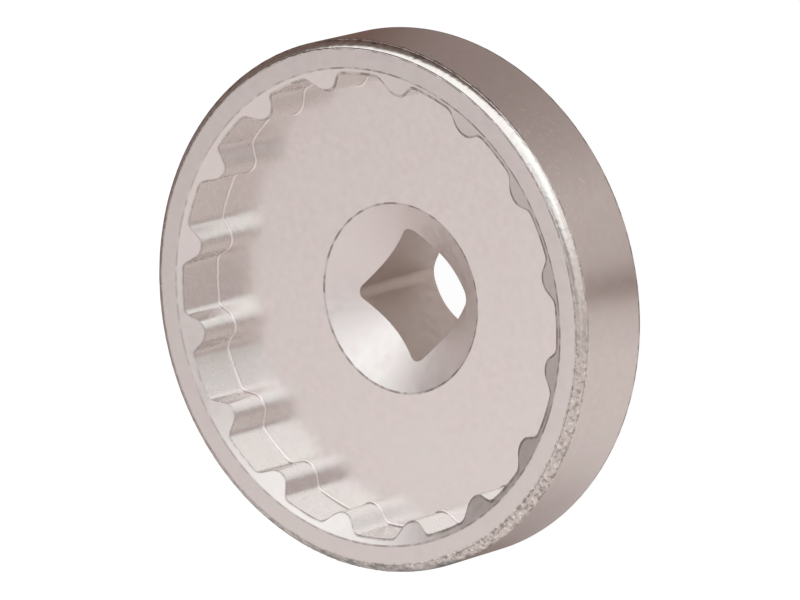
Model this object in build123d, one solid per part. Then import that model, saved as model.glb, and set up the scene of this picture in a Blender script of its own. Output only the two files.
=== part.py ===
from build123d import *
import os
from math import cos, radians, sin, tan

# Bottom bracket tool: a shallow toothed cup on a round drive hub, turned and broached in one piece.
# The origin is the centre of the hub's back face, +Z points out of the mouth, and units are millimetres.

# Toothed pocket
NOTCH_COUNT = 16
ROOT_RADIUS = 22.1
TOOTH_HEIGHT = 1.54
TIP_ROUND = 1.4
FLANK_ANGLE = 43.0
ROOT_ROUND = 0.9
FIRST_TOOTH_ANGLE = 9.3
POCKET_DEPTH = 5.5
FLOOR_CHAMFER = 0.2

# Lead-in cone that cuts the front ends of the teeth
LEAD_IN_STEP = 0.65
LEAD_IN_ANGLE = 23.5

# Cup body
WALL_THICKNESS = 3.3
FLOOR_THICKNESS = 4.5
RIM_BREAK = 0.87
RIM_CROWN = 0.15
BACK_CHAMFER = 1.0

# Hub
HUB_DIAMETER = 24.0
HUB_LENGTH = 10.0
HUB_CHAMFER = 1.0
NECK_CHAMFER = 2.0

# Square drive
DRIVE_SQUARE = 9.53
DRIVE_CORNER_ROUND = 1.0
FRONT_SINK_DIAMETER = 18.2
FRONT_SINK_ANGLE = 110.0
BACK_SINK_DIAMETER = 14.4
BACK_SINK_ANGLE = 90.0

# How far a cutter runs on past the face that it opens, and how near two points count as one
OVERCUT = 1.0
SAME_POINT = 0.001

tip_radius = ROOT_RADIUS - TOOTH_HEIGHT
mouth_radius = ROOT_RADIUS + LEAD_IN_STEP
cup_radius = ROOT_RADIUS + WALL_THICKNESS
hub_radius = HUB_DIAMETER / 2
floor_z = HUB_LENGTH + FLOOR_THICKNESS
rim_z = floor_z + POCKET_DEPTH


def make_blank():
    """The turned outside: hub, neck, cup back, plain wall and rim, solid throughout."""
    hub_edge = (hub_radius, 0)
    neck = (hub_radius, HUB_LENGTH)
    back_edge = (cup_radius, HUB_LENGTH)
    wall_top = (cup_radius, rim_z - RIM_BREAK)
    rim_edge = (cup_radius - RIM_BREAK, rim_z)
    lower = Polyline((0, 0), hub_edge, neck, back_edge, wall_top)
    crown = SagittaArc(wall_top, rim_edge, -RIM_CROWN)
    upper = Polyline(rim_edge, (0, rim_z), (0, 0))
    section = Plane.XZ * make_face([lower, crown, upper])

    def corner(point):
        return section.vertices().sort_by_distance((point[0], 0, point[1]))[0]

    section = chamfer(corner(hub_edge), HUB_CHAMFER)
    section = chamfer(corner(neck), NECK_CHAMFER)
    section = chamfer(corner(back_edge), BACK_CHAMFER)
    return revolve(section, Axis.Z)


def tooth_outline():
    """One tooth on the +X axis: a round tip, straight flanks, and a base beyond the root circle."""
    slope = radians(FLANK_ANGLE)
    flank_start = Vector(tip_radius + TIP_ROUND * (1 - sin(slope)), TIP_ROUND * cos(slope))
    flank_run = ROOT_RADIUS + OVERCUT - flank_start.X
    flank_end = flank_start + Vector(flank_run, flank_run * tan(slope))
    upper = Line(flank_end, flank_start)
    tip = ThreePointArc(flank_start, (tip_radius, 0), (flank_start.X, -flank_start.Y))
    lower = mirror(upper, Plane.XZ)
    base = Line(lower @ 0, upper @ 0)
    return make_face([upper, tip, lower, base])


def make_pocket():
    """The space inside the toothed wall, from the floor to past the rim."""
    teeth = PolarLocations(0, NOTCH_COUNT, start_angle=FIRST_TOOTH_ANGLE) * tooth_outline()
    outline = Circle(ROOT_RADIUS) - teeth
    root_corners = outline.vertices().filter_by(lambda v: abs(Vector(v).length - ROOT_RADIUS) < SAME_POINT)
    outline = fillet(root_corners, ROOT_ROUND)
    pocket = extrude(Plane.XY.offset(floor_z) * outline, POCKET_DEPTH + OVERCUT)
    floor_edges = pocket.faces().sort_by(Axis.Z)[0].outer_wire().edges()
    return chamfer(floor_edges, FLOOR_CHAMFER)


def make_lead_in():
    """The shallow cone at the mouth, cut in from the rim to inside the tooth tips."""
    inner_radius = tip_radius - OVERCUT
    depth = (mouth_radius - inner_radius) * tan(radians(LEAD_IN_ANGLE))
    return Pos(0, 0, rim_z - depth) * Cone(
        inner_radius, mouth_radius, depth, align=(Align.CENTER, Align.CENTER, Align.MIN)
    )


def make_sink(diameter, angle):
    """A countersink below the XY plane: a cone that narrows to its point along -Z."""
    depth = diameter / 2 / tan(radians(angle / 2))
    return Cone(0, diameter / 2, depth, align=(Align.CENTER, Align.CENTER, Align.MAX))


def make_drive():
    """The square drive hole, right through, with a countersink at each end."""
    square = RectangleRounded(DRIVE_SQUARE, DRIVE_SQUARE, DRIVE_CORNER_ROUND)
    hole = Pos(0, 0, -OVERCUT) * extrude(square, floor_z + 2 * OVERCUT)
    front_sink = Pos(0, 0, floor_z) * make_sink(FRONT_SINK_DIAMETER, FRONT_SINK_ANGLE)
    back_sink = Rot(X=180) * make_sink(BACK_SINK_DIAMETER, BACK_SINK_ANGLE)
    return hole + front_sink + back_sink


tool = make_blank() - make_pocket() - make_lead_in() - make_drive()

os.makedirs("parts", exist_ok=True)
export_step(tool, "parts/bottom_bracket_tool.step")
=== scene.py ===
from math import asin, atan2, cos, hypot, pi, radians, sin, sqrt, tan

import bpy
from mathutils import Matrix, Vector, noise


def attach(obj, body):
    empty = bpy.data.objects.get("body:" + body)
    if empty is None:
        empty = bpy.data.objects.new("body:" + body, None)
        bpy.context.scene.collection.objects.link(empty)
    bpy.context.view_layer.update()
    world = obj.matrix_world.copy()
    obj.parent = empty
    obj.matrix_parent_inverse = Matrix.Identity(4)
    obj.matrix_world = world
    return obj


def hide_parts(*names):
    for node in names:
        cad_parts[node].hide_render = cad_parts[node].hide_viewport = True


# Bottom bracket tool, dressed: the part's turned and broached solid as one fine mesh, with its finish.
# Lengths are in metres and angles in degrees, in the frame's own axes.

MM = 0.001

# Toothed pocket
NOTCH_COUNT = 16
ROOT_RADIUS = 22.1 * MM
TIP_RADIUS = 20.56 * MM
TIP_ROUND = 1.4 * MM
FLANK_ANGLE = 43.0
ROOT_ROUND = 0.9 * MM
FIRST_TOOTH_ANGLE = 9.3

# Lead-in cone
MOUTH_RADIUS = 22.75 * MM
LEAD_IN_ANGLE = 23.5

# Turned body
CUP_RADIUS = 25.4 * MM
HUB_RADIUS = 12.0 * MM
HUB_CHAMFER = 1.0 * MM
NECK_CHAMFER = 2.0 * MM
BACK_CHAMFER = 1.0 * MM
RIM_BREAK = 0.87 * MM
RIM_CROWN = 0.15 * MM
CUP_BACK_Z = 10.0 * MM
FLOOR_Z = 14.5 * MM
RIM_Z = 20.0 * MM

# Square drive
DRIVE_HALF = 9.53 / 2 * MM
DRIVE_CORNER_ROUND = 1.0 * MM
FRONT_SINK_RADIUS = 9.1 * MM
FRONT_SINK_ANGLE = 110.0
BACK_SINK_RADIUS = 7.2 * MM
BACK_SINK_ANGLE = 90.0

# How far the small rounds where faces meet reach from their corner
EDGE_BREAK = 0.08 * MM
MOUTH_BREAK = 0.1 * MM
RIM_EDGE_BREAK = 0.06 * MM
SINK_BREAK = 0.11 * MM
DRIVE_BREAK = 0.04 * MM
NECK_BREAK = 0.12 * MM
FLOOR_ROUND = 0.2 * MM

# Mesh steps
TIP_STEPS = 6
FLANK_STEPS = 5
ROOT_ROUND_STEPS = 6
ROOT_STEPS = 11
EDGE_STEPS = 3
CROWN_STEPS = 14
FACE_MARGIN = 0.05 * MM
WALL_FOOT_LINE = 0.22 * MM

# Dents along the rim's outer edge: light all round, and heavy over one stretch of azimuths
DENT_SIZE = 0.38 * MM
DENT_DEPTH = 0.08 * MM
FINE_DENTS = 2.3
FINE_DENT_SHIFT = Vector((7, 3, 5))
COARSE_SHARE = 0.8
FINE_SHARE = 0.6
WEAR_REACH = 0.2 * MM
WEAR_LEVELS = (
    (-180, 1.0), (-165, 0.85), (-144, 0.7), (-138, 0.35), (-110, 0.2),
    (-30, 0.15), (60, 0.15), (110, 0.3), (140, 0.8), (155, 1.0),
)

# How far up the crown the painted dark reflection reaches, by azimuth: 0 at its outer corner and 1 at the
# flat
NO_RIM_SHADE = -0.3
RIM_SHADE_TOPS = (
    (-180, NO_RIM_SHADE), (-92, NO_RIM_SHADE), (-80, 0.05), (-60, 0.2), (-20, 0.3), (40, 0.4),
    (60, 0.5), (75, 0.55), (90, 0.65), (100, 0.8), (112, 0.95), (126, 1.0),
    (136, 0.9), (146, 0.75), (158, 0.45), (168, NO_RIM_SHADE),
)

# How far down the wall the painted dark reflection thins by as much as it does over the whole crown
RIM_SHADE_DROP = 0.7 * MM

# Dull line along sharp edges, by azimuth: how dark it is, and its width in mm on the cone above the teeth
LINE_LEVELS = ((-180, 1.0), (-50, 1.0), (-10, 0.55), (100, 0.5), (150, 0.8), (180, 1.0))
TOOTH_LINE_WIDTHS = ((-180, 0.2), (-60, 0.2), (-20, 0.1), (10, 0.005), (110, 0.005), (150, 0.1), (180, 0.2))

# Inside this radius the line is at its darkest all round
DARK_LINE_RADIUS = 12.0 * MM

# Light scuffs near the top of the wall, by azimuth
SCUFF_LEVELS = ((-120, 0.0), (-106, 0.9), (-92, 0.9), (-72, 0.0))

# Camera, as fitted to the photo's ellipses
CAMERA_AZIMUTH = 30.6
CAMERA_ELEVATION = 51.04
CAMERA_ROLL = 104.84
CAMERA_DISTANCE = 755.1 * MM
CAMERA_AIM = Vector((-2.35 * MM, -3.72 * MM, RIM_Z))
FOCAL_PIXELS = 8073.0
PHOTO_WIDTH = 800
SENSOR_WIDTH = 36.0
CLIP_START = 0.01
CLIP_END = 20.0

# The part of a noise's range that is used: wide for a soft change and narrow for a harder one. Below, a
# RANGE or EDGE says so for one noise, a REACH how far it shifts another, and a COVER how solid it gets.
WIDE = (0.35, 0.65)
NARROW = (0.4, 0.6)

# Nickel plate, with clouds that are a little lighter and rougher than the plate between them
PINK_PLATE = (1.0, 0.87, 0.848)
OLIVE_PLATE = (1.0, 0.902, 0.845)
BLOTCH_SIZE = 2.6 * MM
CLOUD_SIZE = 0.9 * MM
CLOUD_LIGHTNESS = 1.05
CLOUD_ROUGHNESS = 1.12
CLEAR_ROUGHNESS = 0.9
GRAIN_SIZE = 0.12 * MM
GRAIN_DEPTH = 0.0015 * MM
GRAIN_STRENGTH = 0.3

# Worn plate: its edge is frayed, and it has dark pits in loose clusters and light flecks
FRAY_SIZE = 0.6 * MM
FRAY_REACH = (-0.45, 0.25)
FRAY_EDGE = (0.1, 0.35)
CLUSTER_SIZE = 1.5 * MM
CLUSTER_REACH = (-0.045, 0.035)
PIT_SIZE = 0.42 * MM
PIT_DEPTH = 0.02 * MM
PIT_STRENGTH = 0.7
PIT_RANGE = (0.49, 0.61)
PIT_COVER = 0.64
FLECK_SIZE = 0.4 * MM
FLECK_RANGE = (0.52, 0.64)
FLECK_COVER = 0.7
WORN_COVER = 0.5
WORN_ROUGHNESS = 0.42
WORN_COLOUR = (0.55, 0.465, 0.43, 1.0)
PIT_COLOUR = (0.19, 0.155, 0.14, 1.0)
FLECK_COLOUR = (0.86, 0.77, 0.73, 1.0)

# Scuffs on the wall, and a painted dark reflection on the rim's outer edge
SCUFF_SIZE = 0.34 * MM
SCUFF_RANGE = (0.62, 0.7)
SCUFF_COVER = 0.6
SCUFF_COLOUR = (0.95, 0.86, 0.83, 1.0)
RIM_SHADE_FRAY_SIZE = 0.8 * MM
RIM_SHADE_FRAY_REACH = (-0.35, 0.3)
RIM_SHADE_EDGE = (-0.1, 0.4)
RIM_SHADE_COVER = 0.88
RIM_SHADE_PATCH_SIZE = 2.2 * MM
RIM_SHADE_THINNEST = 0.6
RIM_SHADE_COLOUR = (0.125, 0.12, 0.112, 1.0)

# Dull line along sharp edges
LINE_BREAK_SIZE = 1.1 * MM
LINE_BREAK_RANGE = (0.42, 0.58)
LINE_WEAR_RANGE = (0.3, 0.7)
LINE_ROUGHNESS = 0.4
DARK_LINE_COLOUR = (0.3, 0.25, 0.23, 1.0)
MIDDLE_LINE_COLOUR = (0.56, 0.49, 0.465, 1.0)
LIGHT_LINE_COLOUR = (0.66, 0.585, 0.56, 1.0)
WORN_LINE_COLOUR = (0.6, 0.525, 0.495, 1.0)
# Painted dark reflection where the line runs along the rim's outer edge
LINE_RIM_SHADE_COLOUR = (0.12, 0.11, 0.1, 1.0)

# Lamps: where they stand as azimuth and elevation, and their width and height
KEY_DIRECTION = (-51.0, 39.0)
KEY_SIZE = (1.28, 0.8)
KEY_RADIANCE = 0.68
FILL_DIRECTION = (-97.0, 16.0)
FILL_SIZE = (0.44, 0.44)
FILL_RADIANCE = 0.3
LIGHT_DISTANCE = 0.6
LIGHT_COLOUR = (0.77, 1.0, 1.05)

# White surroundings, with one darker patch high up as where a photographer stands
WHITE = (1.0, 1.0, 1.0, 1.0)
WORLD_COLOUR = (0.85, 0.85, 0.85, 1.0)
PATCH_DIRECTION = (-112.0, 66.0)
PATCH_LEVEL = 0.49
PATCH_EDGE_ANGLE = 25.0
PATCH_CORE_ANGLE = 9.0

# White paper floor
FLOOR_HALF = 3.0
FLOOR_WHITE = 0.95
PAPER_COLOUR = (0.95, 0.95, 0.95, 1.0)
FAINT_PAPER_COLOUR = (0.1, 0.1, 0.1, 1.0)

# Dark flag behind the tool, by azimuth: the elevation of its top, and how solid it and the veil above it are
FLAG_COLOUR = (0.18, 0.142, 0.126, 1.0)
FLAG_DISTANCE = 0.28
FLAG_ELEVATIONS = range(0, 69, 2)
TOP_SOFTNESS = 8
FLAG_TOPS = (
    (-130, 38), (-80, -6), (-69, 10), (-54, 17), (-40, 23), (-24, 30),
    (-4, 29), (6, 31), (15, 37), (26, 40), (54, 40), (105, 36),
)
FLAG_COVERS = (
    (-166, 0), (-154, 0.36), (-142, 0.36), (-132, 0), (-80, 0), (-71, 0.97), (12, 0.98),
    (28, 0.88), (40, 0.76), (50, 0.53), (60, 0.37), (72, 0.22), (100, 0),
)
VEIL_TOP = 62
VEIL_COVERS = (
    (-180, 0.08), (-160, 0.2), (-148, 0.2), (-140, 0), (30, 0),
    (45, 0.24), (54, 0.21), (65, 0), (76, 0), (95, 0.07),
)

# Dark card on the floor, in rings whose radii are in mm: how solid it is where the hole shows it,
# and, by azimuth, near the tool and far from it. Seen only in reflections, it is a painted shadow
# of the tool close round it and inside the hole, and a dark floor farther out
FLOOR_CARD_COLOUR = (0.2, 0.127, 0.108, 1.0)
FLOOR_CARD_HEIGHT = 0.4 * MM
FLOOR_CARD_RADII = (1, 10, 14, 24, 33, 42, 50, 60, 80, 120, 180, 280)
HOLE_RINGS = 2
HOLE_COVER = 0.3
NEAR_RADIUS = 40
FAR_RADIUS = 65
NEAR_COVERS = (
    (-180, 0.19), (-172, 0.14), (-152, 0.13), (-139, 0.29), (-133, 0.74),
    (-127, 0.46), (-122, 0.38), (-107, 0.35), (-88, 0.57), (-70, 0.69),
    (-43, 0.8), (-20, 1.0), (110, 0.95), (130, 0.88), (137, 0.82),
    (144, 0.7), (156, 0.55), (162, 0.47), (174, 0.26), (180, 0.19),
)
FAR_COVERS = ((-85, 0), (-75, 1.0), (-30, 1.0), (50, 0.9), (75, 0.5), (110, 0))

# Steps round each card
CARD_STEPS = 120


def direction(azimuth, elevation):
    """A unit vector, with the azimuth measured from +X towards +Y."""
    a = radians(azimuth)
    e = radians(elevation)
    return Vector((cos(a) * cos(e), sin(a) * cos(e), sin(e)))


def smooth(value):
    """0 below 0, 1 above 1, and an S between them."""
    value = min(max(value, 0.0), 1.0)
    return value * value * (3 - 2 * value)


def follow(pairs, value):
    """The value's level on the line through (value, level) pairs, which is flat beyond its ends."""
    for (start, low), (end, high) in zip(pairs, pairs[1:]):
        if start <= value < end:
            return low + (high - low) * (value - start) / (end - start)
    return pairs[0][1] if value < pairs[0][0] else pairs[-1][1]


def arc(centre, radius, start, end, steps):
    """Points on a circle from one angle to the other, in radians, without the last."""
    angles = [start + (end - start) * i / steps for i in range(steps)]
    return [(centre[0] + radius * cos(angle), centre[1] + radius * sin(angle)) for angle in angles]


def half_tooth():
    """Plan points from the middle of a tooth's tip, on the +X axis, to the middle of the next root."""
    slope = radians(FLANK_ANGLE)
    half_pitch = pi / NOTCH_COUNT
    tip_centre = (TIP_RADIUS + TIP_ROUND, 0)
    points = arc(tip_centre, TIP_ROUND, pi, pi / 2 + slope, TIP_STEPS)
    along = Vector((cos(slope), sin(slope)))
    across = Vector((-sin(slope), cos(slope)))
    flank_start = Vector(tip_centre) + across * TIP_ROUND
    # The root round lies against the flank and inside the root circle
    offset = flank_start + across * ROOT_ROUND
    reach = ROOT_RADIUS - ROOT_ROUND
    run = -offset.dot(along) + sqrt(offset.dot(along) ** 2 - offset.length_squared + reach**2)
    flank_end = flank_start + along * run
    round_centre = offset + along * run
    for i in range(FLANK_STEPS):
        points.append(tuple(flank_start.lerp(flank_end, i / FLANK_STEPS)))
    round_start = atan2(-across.y, -across.x)
    round_end = atan2(round_centre.y, round_centre.x)
    points += arc(round_centre, ROOT_ROUND, round_start, round_end, ROOT_ROUND_STEPS)
    points += arc((0, 0), ROOT_RADIUS, round_end, half_pitch, ROOT_STEPS)
    points.append((ROOT_RADIUS * cos(half_pitch), ROOT_RADIUS * sin(half_pitch)))
    return points


def pocket_outline():
    """(angle, radius) round the whole toothed wall."""
    half = [(atan2(y, x), hypot(x, y)) for x, y in half_tooth()]
    pitch = half + [(2 * pi / NOTCH_COUNT - angle, radius) for angle, radius in reversed(half[1:-1])]
    outline = []
    for k in range(NOTCH_COUNT):
        turn = radians(FIRST_TOOTH_ANGLE) + 2 * pi * k / NOTCH_COUNT
        outline += [(turn + angle, radius) for angle, radius in pitch]
    return outline


def drive_radius(angle):
    """Radius of the square drive's outline, with its round corners, at an angle."""
    x = abs(cos(angle))
    y = abs(sin(angle))
    flat = DRIVE_HALF - DRIVE_CORNER_ROUND
    radius = DRIVE_HALF / max(x, y)
    if min(x, y) * radius <= flat:
        return radius
    middle = flat * (x + y)
    return middle + sqrt(middle**2 - 2 * flat**2 + DRIVE_CORNER_ROUND**2)


def rim_crown():
    """(radius, z) along the low crown of the rim's chamfer, between its two edges."""
    half_chord = RIM_BREAK / sqrt(2)
    radius = (half_chord**2 + RIM_CROWN**2) / (2 * RIM_CROWN)
    inward = RIM_BREAK / 2 + (radius - RIM_CROWN) / sqrt(2)
    half_sweep = asin(half_chord / radius)
    centre = (CUP_RADIUS - inward, RIM_Z - inward)
    return arc(centre, radius, pi / 4 - half_sweep, pi / 4 + half_sweep, CROWN_STEPS)[1:]


def section_corners(angle, tooth_radius):
    """The section's corners at one angle, from the hub's face outwards and round to it again.

    Each is (radius, z, reach of its round, the zone of the round, the zone of the face after it).
    """
    cone_slope = tan(radians(LEAD_IN_ANGLE))
    drive = drive_radius(angle)
    line_radius = tooth_radius + EDGE_BREAK + FACE_MARGIN + around_rim(TOOTH_LINE_WIDTHS, angle) * MM
    line_z = RIM_Z - (MOUTH_RADIUS - line_radius) * cone_slope
    tooth_top = RIM_Z - (MOUTH_RADIUS - tooth_radius) * cone_slope
    drive_top = FLOOR_Z - (FRONT_SINK_RADIUS - drive) / tan(radians(FRONT_SINK_ANGLE / 2))
    drive_foot = (BACK_SINK_RADIUS - drive) / tan(radians(BACK_SINK_ANGLE / 2))
    wall_foot = CUP_BACK_Z + BACK_CHAMFER
    wall_top = RIM_Z - RIM_BREAK
    rim_edge = CUP_RADIUS - RIM_BREAK
    return [
        (BACK_SINK_RADIUS, 0, EDGE_BREAK, "edge", "turned"),
        (HUB_RADIUS - HUB_CHAMFER, 0, EDGE_BREAK, "turned", "turned"),
        (HUB_RADIUS, HUB_CHAMFER, EDGE_BREAK, "turned", "turned"),
        (HUB_RADIUS, CUP_BACK_Z - NECK_CHAMFER, NECK_BREAK, "turned", "turned"),
        (HUB_RADIUS + NECK_CHAMFER, CUP_BACK_Z, NECK_BREAK, "turned", "turned"),
        (CUP_RADIUS - BACK_CHAMFER, CUP_BACK_Z, EDGE_BREAK, "turned", "turned"),
        (CUP_RADIUS, wall_foot, EDGE_BREAK, "edge", "edge"),
        (CUP_RADIUS, wall_foot + WALL_FOOT_LINE, 0, "wall", "wall"),
        (CUP_RADIUS, wall_top - WEAR_REACH, 0, "wall", "wall"),
        (CUP_RADIUS, wall_top, RIM_EDGE_BREAK, "edge", "rim"),
        *[(radius, z, 0, "rim", "rim") for radius, z in rim_crown()],
        (rim_edge, RIM_Z, RIM_EDGE_BREAK, "edge", "turned"),
        (rim_edge - WEAR_REACH, RIM_Z, 0, "turned", "turned"),
        (MOUTH_RADIUS, RIM_Z, MOUTH_BREAK, "edge", "cone"),
        (line_radius, line_z, 0, "edge", "edge"),
        (tooth_radius, tooth_top, EDGE_BREAK, "edge", "broached"),
        (tooth_radius, FLOOR_Z, FLOOR_ROUND, "foot", "floor"),
        (FRONT_SINK_RADIUS, FLOOR_Z, SINK_BREAK, "edge", "sink"),
        (drive, drive_top, DRIVE_BREAK, "sink", "drive"),
        (drive, drive_foot, DRIVE_BREAK, "edge", "sink"),
    ]


def rounded_section(corners):
    """One closed section with its corners rounded, as (point, zone after it)."""
    rows = []
    face = corners[-1][4]
    for i, (radius, z, reach, edge_zone, next_face) in enumerate(corners):
        here = Vector((radius, z))
        if reach == 0:
            rows.append((here, next_face))
            face = next_face
            continue
        before = (Vector(corners[i - 1][:2]) - here).normalized()
        after = (Vector(corners[(i + 1) % len(corners)][:2]) - here).normalized()
        centre = here + (before + after).normalized() * (reach / cos(before.angle(after) / 2))
        first = here + before * reach - centre
        sweep = first.angle_signed(here + after * reach - centre)
        rows.append((here + before * (reach + FACE_MARGIN), face))
        for step in range(EDGE_STEPS + 1):
            spoke = Matrix.Rotation(-sweep * step / EDGE_STEPS, 2) @ first
            rows.append((centre + spoke, edge_zone if step < EDGE_STEPS else next_face))
        rows.append((here + after * (reach + FACE_MARGIN), next_face))
        face = next_face
    return rows


def wear_share(point):
    """1 on the rim's crowned edge, falling to 0 a little way along the faces beside it."""
    from_corner = max(CUP_RADIUS - point.x, RIM_Z - point.y)
    return smooth((RIM_BREAK + WEAR_REACH - from_corner) / WEAR_REACH)


def height_on_crown(point):
    """0 at the outer corner of the rim's crown, 1 at the flat, and more beyond the flat or down the wall."""
    inward = (CUP_RADIUS - point.x) / RIM_BREAK
    down = (RIM_Z - RIM_BREAK - point.y) / RIM_SHADE_DROP
    return min(max(inward, down), 3)


def around_rim(pairs, angle):
    """The level at an angle in radians, from (azimuth, level) pairs."""
    return follow(pairs, (angle * 180 / pi + 180) % 360 - 180)


def dent_depth(place):
    """Depth of the dents at a place, never outwards."""
    coarse = noise.noise(place / DENT_SIZE)
    fine = noise.noise(place / DENT_SIZE * FINE_DENTS + FINE_DENT_SHIFT)
    return DENT_DEPTH * smooth(0.5 + COARSE_SHARE * coarse + FINE_SHARE * fine)


def on_axis(point, angle):
    """A section's (radius, z) point turned to its angle round the axis."""
    return Vector((point.x * cos(angle), point.x * sin(angle), point.y))


def make_tool(materials):
    """The whole tool as one closed grid: sections side by side, all the way round the axis."""
    wall_foot_line = CUP_BACK_Z + BACK_CHAMFER + WALL_FOOT_LINE
    outline = pocket_outline()
    sections = [rounded_section(section_corners(angle, radius)) for angle, radius in outline]
    row_count = len(sections[0])
    zones = [zone for _, zone in sections[0]]
    inward = Vector((-1, -1)).normalized()
    zone_names = sorted(set(zones))
    vertices = []
    wear = []
    rim_shade = []
    scuffs = []
    line = []
    for (angle, _), section in zip(outline, sections):
        wear_level = around_rim(WEAR_LEVELS, angle)
        # Painted dark reflection on the rim's crown, by azimuth
        rim_shade_top = around_rim(RIM_SHADE_TOPS, angle)
        scuff_level = around_rim(SCUFF_LEVELS, angle)
        line_level = around_rim(LINE_LEVELS, angle)
        for point, _ in section:
            share = wear_level * wear_share(point)
            rim_shade.append(rim_shade_top - height_on_crown(point))
            scuffs.append(scuff_level if point.y > wall_foot_line else 0.0)
            line.append(line_level if point.x > DARK_LINE_RADIUS else 1.0)
            if share:
                point = point + inward * dent_depth(on_axis(point, angle)) * share
            vertices.append(on_axis(point, angle))
            wear.append(share)
    faces = []
    slots = []
    for column in range(len(outline)):
        here = column * row_count
        there = (column + 1) % len(outline) * row_count
        for row, zone in enumerate(zones):
            after = (row + 1) % row_count
            faces.append((here + row, there + row, there + after, here + after))
            slots.append(zone_names.index(zone))
    mesh = bpy.data.meshes.new("dressed_tool")
    mesh.from_pydata(vertices, [], faces)
    for name, values in (("wear", wear), ("rim_shade", rim_shade), ("scuffs", scuffs), ("line", line)):
        mesh.attributes.new(name, "FLOAT", "POINT").data.foreach_set("value", values)
    for name in zone_names:
        mesh.materials.append(materials[name])
    mesh.polygons.foreach_set("material_index", slots)
    mesh.shade_smooth()
    return add_object("dressed_tool", mesh)


class Nodes:
    """Short calls for the nodes of one material or world."""

    def __init__(self, tree):
        tree.nodes.clear()
        self.tree = tree

    def add(self, kind, inputs, **settings):
        """A node with its settings, and its inputs set to values or linked from sockets."""
        node = self.tree.nodes.new("ShaderNode" + kind)
        for key, value in settings.items():
            setattr(node, key, value)
        for key, value in inputs.items():
            if isinstance(value, bpy.types.NodeSocket):
                self.tree.links.new(value, node.inputs[key])
            else:
                node.inputs[key].default_value = value
        return node

    def noise(self, place, size, detail):
        """Noise with features of about one size."""
        return self.add("TexNoise", {"Vector": place, "Scale": 1 / size, "Detail": detail}).outputs["Fac"]

    def spread(self, value, source, target=(0.0, 1.0)):
        """A value taken from one range to another and kept inside it."""
        low, high = source
        to_low, to_high = target
        inputs = {"Value": value, "From Min": low, "From Max": high, "To Min": to_low, "To Max": to_high}
        return self.add("MapRange", inputs).outputs[0]

    def mix(self, factor, first, second):
        """A colour between two others."""
        return self.add("Mix", {0: factor, 6: first, 7: second}, data_type="RGBA").outputs[2]

    def math(self, operation, first, second):
        return self.add("Math", {0: first, 1: second}, operation=operation).outputs[0]

    def amount(self, name):
        """One of the mesh's own amounts, from its named attribute."""
        return self.add("Attribute", {}, attribute_name=name).outputs["Fac"]

    def sees_background(self):
        """1 for camera, glossy and transmission rays, which all see the white background."""
        path = self.add("LightPath", {}).outputs
        seen = self.math("MAXIMUM", path["Is Camera Ray"], path["Is Glossy Ray"])
        return self.math("MAXIMUM", seen, path["Is Transmission Ray"])


def new_material(name):
    material = bpy.data.materials.new(name)
    material.use_nodes = True
    return material, Nodes(material.node_tree)


def tint(colour, level):
    return tuple(part * level for part in colour) + (1.0,)


def scuffed(nodes, place, colour):
    """The wall's colour with light scuffs scattered on it."""
    marks = nodes.spread(nodes.noise(place, SCUFF_SIZE, 2.0), SCUFF_RANGE, (0.0, SCUFF_COVER))
    return nodes.mix(nodes.math("MULTIPLY", nodes.amount("scuffs"), marks), colour, SCUFF_COLOUR)


def ragged_wear(nodes, place):
    """How worn a place is, with a ragged edge, and how pitted, in loose clusters."""
    reach = nodes.amount("wear")
    fray = nodes.spread(nodes.noise(place, FRAY_SIZE, 3.0), WIDE, FRAY_REACH)
    frayed = nodes.spread(nodes.math("ADD", reach, fray), FRAY_EDGE)
    wear = nodes.math("MULTIPLY", reach, frayed)
    clusters = nodes.spread(nodes.noise(place, CLUSTER_SIZE, 1.0), WIDE, CLUSTER_REACH)
    spots = nodes.math("ADD", nodes.noise(place, PIT_SIZE, 4.0), clusters)
    pits = nodes.math("MULTIPLY", wear, nodes.spread(spots, PIT_RANGE, (0.0, PIT_COVER)))
    return wear, pits


def ragged_rim_shade(nodes, place):
    """How much painted dark reflection lies at a place: its top edge is broken up, and it is thinner in
    patches.
    """
    fray = nodes.spread(nodes.noise(place, RIM_SHADE_FRAY_SIZE, 4.0), WIDE, RIM_SHADE_FRAY_REACH)
    cover = nodes.spread(nodes.math("ADD", nodes.amount("rim_shade"), fray), RIM_SHADE_EDGE, (0.0, RIM_SHADE_COVER))
    patches = nodes.spread(nodes.noise(place, RIM_SHADE_PATCH_SIZE, 3.0), NARROW, (RIM_SHADE_THINNEST, 1.0))
    return nodes.math("MULTIPLY", cover, patches)


def worn(nodes, place, colour, wear, pits):
    """A colour dulled where it is worn, with dark pits and light flecks."""
    colour = nodes.mix(nodes.math("MULTIPLY", wear, WORN_COVER), colour, WORN_COLOUR)
    colour = nodes.mix(pits, colour, PIT_COLOUR)
    flecks = nodes.spread(nodes.noise(place, FLECK_SIZE, 4.0), FLECK_RANGE, (0.0, FLECK_COVER))
    return nodes.mix(nodes.math("MULTIPLY", wear, flecks), colour, FLECK_COLOUR)


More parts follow.
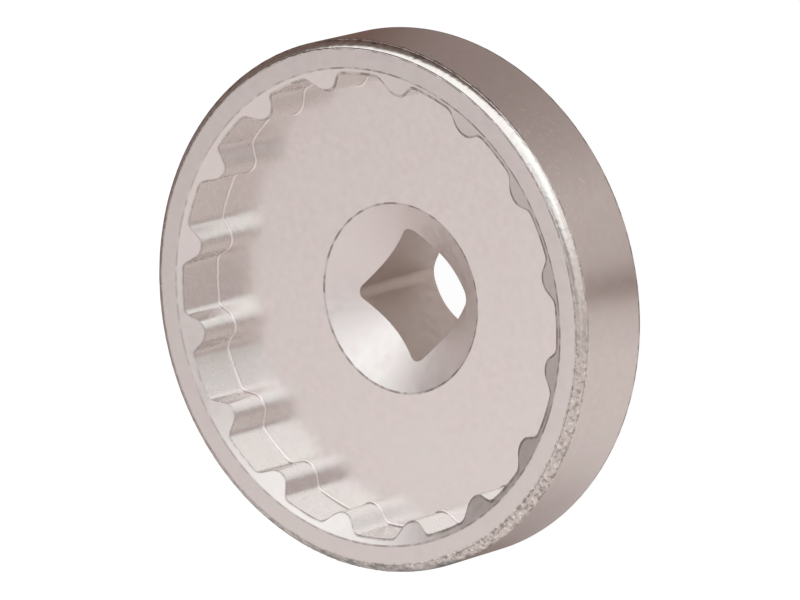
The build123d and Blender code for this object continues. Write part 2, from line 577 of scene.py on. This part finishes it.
def make_plate(name, level, roughness, pink=PINK_PLATE, olive=OLIVE_PLATE, has_scuffs=False):
    """Satin nickel plate: blotches of two tints, cloudy gloss, a fine grain, and dirt where it is worn, with
    a painted dark reflection along the rim's outer edge.
    """
    material, nodes = new_material(name)
    place = nodes.add("TexCoord", {}).outputs["Object"]
    blotches = nodes.spread(nodes.noise(place, BLOTCH_SIZE, 3.0), NARROW)
    colour = nodes.mix(blotches, tint(pink, level), tint(olive, level))
    clouds = nodes.spread(nodes.noise(place, CLOUD_SIZE, 4.0), WIDE)
    colour = nodes.mix(clouds, colour, tint(pink, level * CLOUD_LIGHTNESS))
    if has_scuffs:
        colour = scuffed(nodes, place, colour)
    wear, pits = ragged_wear(nodes, place)
    colour = worn(nodes, place, colour, wear, pits)
    # Painted dark reflection along the rim's outer edge
    colour = nodes.mix(ragged_rim_shade(nodes, place), colour, RIM_SHADE_COLOUR)
    roughnesses = (roughness * CLEAR_ROUGHNESS, roughness * CLOUD_ROUGHNESS)
    gloss = nodes.spread(clouds, (0.0, 1.0), roughnesses)
    gloss = nodes.math("MAXIMUM", gloss, nodes.math("MULTIPLY", wear, WORN_ROUGHNESS))
    ripple = nodes.noise(place, GRAIN_SIZE, 2.0)
    grain = {"Height": ripple, "Distance": GRAIN_DEPTH, "Strength": GRAIN_STRENGTH}
    grain_normal = nodes.add("Bump", grain).outputs[0]
    dips = {"Height": pits, "Distance": PIT_DEPTH, "Strength": PIT_STRENGTH, "Normal": grain_normal}
    normal = nodes.add("Bump", dips).outputs[0]
    inputs = {"Base Color": colour, "Metallic": 1.0, "Roughness": gloss, "Normal": normal}
    shader = nodes.add("BsdfPrincipled", inputs).outputs[0]
    nodes.add("OutputMaterial", {"Surface": shader})
    return material


def make_edge_line():
    """The thin dull line that plating leaves along a sharp edge, broken here and there, darkened by the
    painted reflection along the rim's outer edge.
    """
    material, nodes = new_material("plate_edge")
    place = nodes.add("TexCoord", {}).outputs["Object"]
    breaks = nodes.spread(nodes.noise(place, LINE_BREAK_SIZE, 4.0), LINE_BREAK_RANGE)
    colour = nodes.mix(breaks, DARK_LINE_COLOUR, MIDDLE_LINE_COLOUR)
    colour = nodes.mix(nodes.amount("line"), LIGHT_LINE_COLOUR, colour)
    wear, pits = ragged_wear(nodes, place)
    hidden = nodes.spread(wear, LINE_WEAR_RANGE)
    colour = worn(nodes, place, nodes.mix(hidden, colour, WORN_LINE_COLOUR), wear, pits)
    # Painted dark reflection where the line runs along the rim's outer edge
    colour = nodes.mix(ragged_rim_shade(nodes, place), colour, LINE_RIM_SHADE_COLOUR)
    inputs = {"Base Color": colour, "Metallic": 1.0, "Roughness": LINE_ROUGHNESS}
    shader = nodes.add("BsdfPrincipled", inputs).outputs[0]
    nodes.add("OutputMaterial", {"Surface": shader})
    return material


def make_materials():
    """The finish of each zone: how light and how rough it is, and the tints where they differ."""
    return {
        "turned": make_plate("plate_turned", 0.61, 0.2),
        "wall": make_plate("plate_wall", 0.6, 0.2, (1.0, 0.853, 0.81), (1.0, 0.875, 0.805), has_scuffs=True),
        "rim": make_plate("plate_rim", 0.625, 0.2, (1.0, 0.86, 0.815), (1.0, 0.885, 0.815)),
        "floor": make_plate("plate_floor", 0.685, 0.215),
        "cone": make_plate("plate_cone", 0.66, 0.34),
        "sink": make_plate("plate_sink", 0.715, 0.47),
        "broached": make_plate("plate_broached", 0.755, 0.25, (1.0, 0.95, 0.93), (1.0, 0.96, 0.92)),
        "foot": make_plate("plate_foot", 0.74, 0.35),
        "drive": make_plate("plate_drive", 0.63, 0.6, (1.0, 0.86, 0.79), (1.0, 0.87, 0.79)),
        "edge": make_edge_line(),
    }


def add_object(name, data):
    thing = bpy.data.objects.new(name, data)
    bpy.context.scene.collection.objects.link(thing)
    return thing


def make_camera():
    data = bpy.data.cameras.new("camera")
    data.sensor_width = SENSOR_WIDTH
    data.lens = FOCAL_PIXELS / PHOTO_WIDTH * SENSOR_WIDTH
    data.clip_start = CLIP_START
    data.clip_end = CLIP_END
    camera = add_object("camera", data)
    ahead = direction(90 - CAMERA_AZIMUTH, -CAMERA_ELEVATION)
    level = direction(-CAMERA_AZIMUTH, 0)
    right = Matrix.Rotation(radians(CAMERA_ROLL), 3, ahead) @ level
    up = right.cross(ahead)
    axes = Matrix((right, up, -ahead)).transposed().to_4x4()
    camera.matrix_world = Matrix.Translation(CAMERA_AIM - ahead * CAMERA_DISTANCE) @ axes
    bpy.context.scene.camera = camera


def make_floor():
    """A white paper floor that keeps a light shadow of the tool."""
    corners = [(x * FLOOR_HALF, y * FLOOR_HALF, 0) for x, y in ((-1, -1), (1, -1), (1, 1), (-1, 1))]
    mesh = bpy.data.meshes.new("floor")
    mesh.from_pydata(corners, [], [(0, 1, 2, 3)])
    material, nodes = new_material("floor_paper")
    paper = nodes.add("BsdfDiffuse", {"Color": PAPER_COLOUR}).outputs[0]
    faint_paper = nodes.add("BsdfDiffuse", {"Color": FAINT_PAPER_COLOUR}).outputs[0]
    white = nodes.add("Emission", {"Strength": FLOOR_WHITE}).outputs[0]
    lit_white = nodes.add("AddShader", {0: faint_paper, 1: white}).outputs[0]
    shader = nodes.add("MixShader", {0: nodes.sees_background(), 1: paper, 2: lit_white}).outputs[0]
    nodes.add("OutputMaterial", {"Surface": shader})
    mesh.materials.append(material)
    add_object("floor", mesh)


def make_card(name, colour, rings, cover):
    """A dark card with soft edges, made of rings of points; cover(azimuth, ring) says how solid it is."""
    vertices = []
    covers = []
    for ring, (radius, height) in enumerate(rings):
        for step in range(CARD_STEPS):
            azimuth = 360 * step / CARD_STEPS - 180
            around = direction(azimuth, 0)
            vertices.append((radius * around.x, radius * around.y, height))
            covers.append(cover(azimuth, ring))
    faces = []
    for ring in range(len(rings) - 1):
        here = ring * CARD_STEPS
        there = here + CARD_STEPS
        for step in range(CARD_STEPS):
            after = (step + 1) % CARD_STEPS
            faces.append((here + step, here + after, there + after, there + step))
    mesh = bpy.data.meshes.new(name)
    mesh.from_pydata(vertices, [], faces)
    mesh.attributes.new("cover", "FLOAT", "POINT").data.foreach_set("value", covers)
    material, nodes = new_material(name)
    amount = nodes.amount("cover")
    clear = nodes.add("BsdfTransparent", {}).outputs[0]
    dark = nodes.add("Emission", {"Color": colour}).outputs[0]
    shader = nodes.add("MixShader", {0: amount, 1: clear, 2: dark}).outputs[0]
    nodes.add("OutputMaterial", {"Surface": shader})
    mesh.materials.append(material)
    card = add_object(name, mesh)
    card.visible_camera = False
    card.visible_diffuse = False
    return card


def make_floor_card():
    """A graded card on the floor round the tool, darkest towards the flag: close round the tool and inside
    the hole it is a painted shadow of the tool, seen only in reflections.
    """

    def cover(azimuth, ring):
        # Painted shadow of the tool, seen through the hole and close round it
        if ring < HOLE_RINGS:
            return HOLE_COVER
        farness = smooth((FLOOR_CARD_RADII[ring] - NEAR_RADIUS) / (FAR_RADIUS - NEAR_RADIUS))
        near = follow(NEAR_COVERS, azimuth)
        far = follow(FAR_COVERS, azimuth)
        return near * (1 - farness) + far * farness

    rings = [(radius * MM, FLOOR_CARD_HEIGHT) for radius in FLOOR_CARD_RADII]
    make_card("floor_card", FLOOR_CARD_COLOUR, rings, cover).visible_shadow = False


def make_flag():
    """A dark upright flag, which the plate shows at its dark side, with a thin veil above it."""

    def below(top, elevation):
        return smooth((top - elevation) / TOP_SOFTNESS + 0.5)

    def cover(azimuth, ring):
        elevation = FLAG_ELEVATIONS[ring]
        solid = follow(FLAG_COVERS, azimuth) * below(follow(FLAG_TOPS, azimuth), elevation)
        veil = follow(VEIL_COVERS, azimuth) * below(VEIL_TOP, elevation)
        return max(solid, veil)

    rings = [(FLAG_DISTANCE, FLAG_DISTANCE * tan(radians(elevation))) for elevation in FLAG_ELEVATIONS]
    make_card("flag", FLAG_COLOUR, rings, cover)


def make_light(name, toward, size, radiance):
    """A soft rectangular lamp that faces the tool."""
    data = bpy.data.lights.new(name, "AREA")
    data.shape = "RECTANGLE"
    data.size, data.size_y = size
    data.energy = radiance * pi * data.size * data.size_y
    data.color = LIGHT_COLOUR
    turn = toward.to_track_quat("Z", "Y").to_matrix().to_4x4()
    add_object(name, data).matrix_world = Matrix.Translation(toward * LIGHT_DISTANCE) @ turn


def make_world():
    world = bpy.data.worlds.new("world")
    bpy.context.scene.world = world
    world.use_nodes = True
    nodes = Nodes(world.node_tree)
    toward = nodes.add("TexCoord", {}).outputs["Generated"]
    towards_patch = {0: toward, 1: direction(*PATCH_DIRECTION)}
    nearness = nodes.add("VectorMath", towards_patch, operation="DOT_PRODUCT").outputs["Value"]
    edge = cos(radians(PATCH_EDGE_ANGLE))
    core = cos(radians(PATCH_CORE_ANGLE))
    level = nodes.spread(nearness, (edge, core), (1.0, PATCH_LEVEL))
    colour = nodes.mix(nodes.sees_background(), WORLD_COLOUR, WHITE)
    background = nodes.add("Background", {"Color": colour, "Strength": level}).outputs[0]
    nodes.add("OutputWorld", {"Surface": background})


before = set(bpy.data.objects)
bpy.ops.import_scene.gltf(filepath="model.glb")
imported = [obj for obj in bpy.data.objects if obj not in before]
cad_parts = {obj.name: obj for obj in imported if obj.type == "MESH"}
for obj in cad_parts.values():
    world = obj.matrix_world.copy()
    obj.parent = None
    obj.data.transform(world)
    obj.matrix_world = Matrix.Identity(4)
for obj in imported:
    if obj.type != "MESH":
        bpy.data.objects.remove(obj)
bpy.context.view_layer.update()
bpy.context.scene.view_settings.view_transform = "Standard"

tool = make_tool(make_materials())
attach(tool, "root")
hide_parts("bottom_bracket_tool")

make_camera()
make_floor()
make_floor_card()
make_flag()
make_light("key", direction(*KEY_DIRECTION), KEY_SIZE, KEY_RADIANCE)
make_light("fill", direction(*FILL_DIRECTION), FILL_SIZE, FILL_RADIANCE)
make_world()
